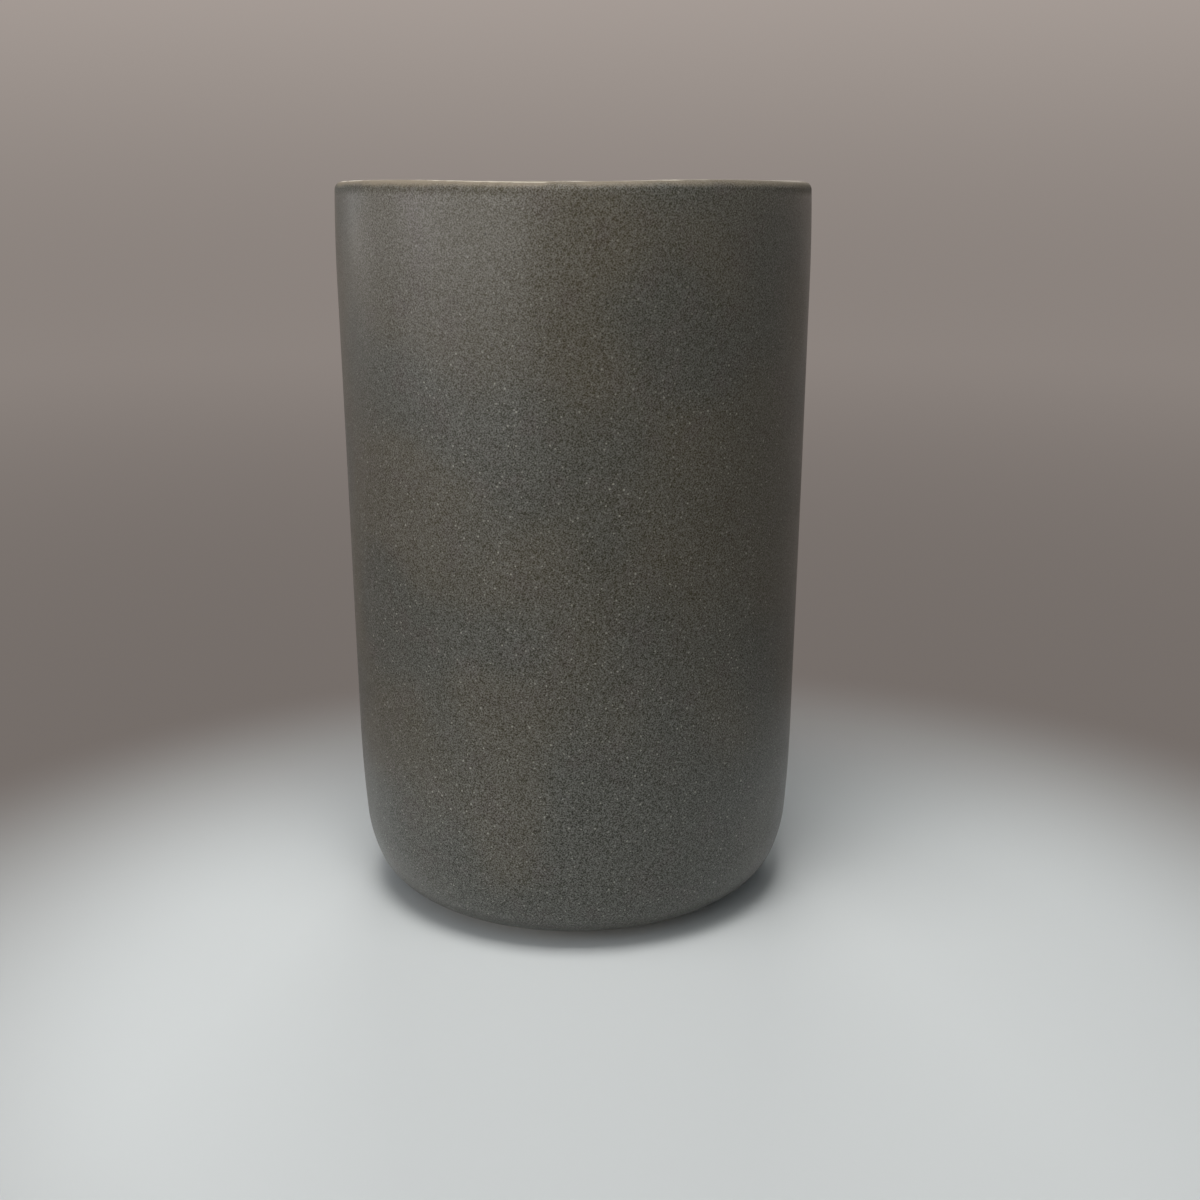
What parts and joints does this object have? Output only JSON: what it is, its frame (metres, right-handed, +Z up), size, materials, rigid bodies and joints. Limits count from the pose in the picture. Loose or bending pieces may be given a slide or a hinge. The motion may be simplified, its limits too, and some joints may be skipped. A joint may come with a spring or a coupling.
{
  "type": "bathroom tumbler",
  "caption": "Tall glazed stoneware tumbler with straight walls, a softly drawn-in rim, a rounded heel and a recessed foot ring.",
  "frame": {"origin": "centre of the foot ring, on the surface that the tumbler stands on", "axes": "+Z up along the tumbler's axis of turning; +X and +Y are free, because the tumbler is round"},
  "size_m": [0.072, 0.072, 0.112],
  "materials": {
    "bare_stoneware": "fired, unglazed, sponged smooth",
    "matt_glaze_outside": "matt, finely speckled",
    "satin_glaze_inside": "satin, finely speckled",
    "glaze_under_base": "matt, finely speckled"
  },
  "bodies": {
    "root": {"stoneware_body": "bare_stoneware", "outer_glaze": "matt_glaze_outside", "liner_glaze": "satin_glaze_inside", "base_glaze": "glaze_under_base"}
  },
  "joints": []
}
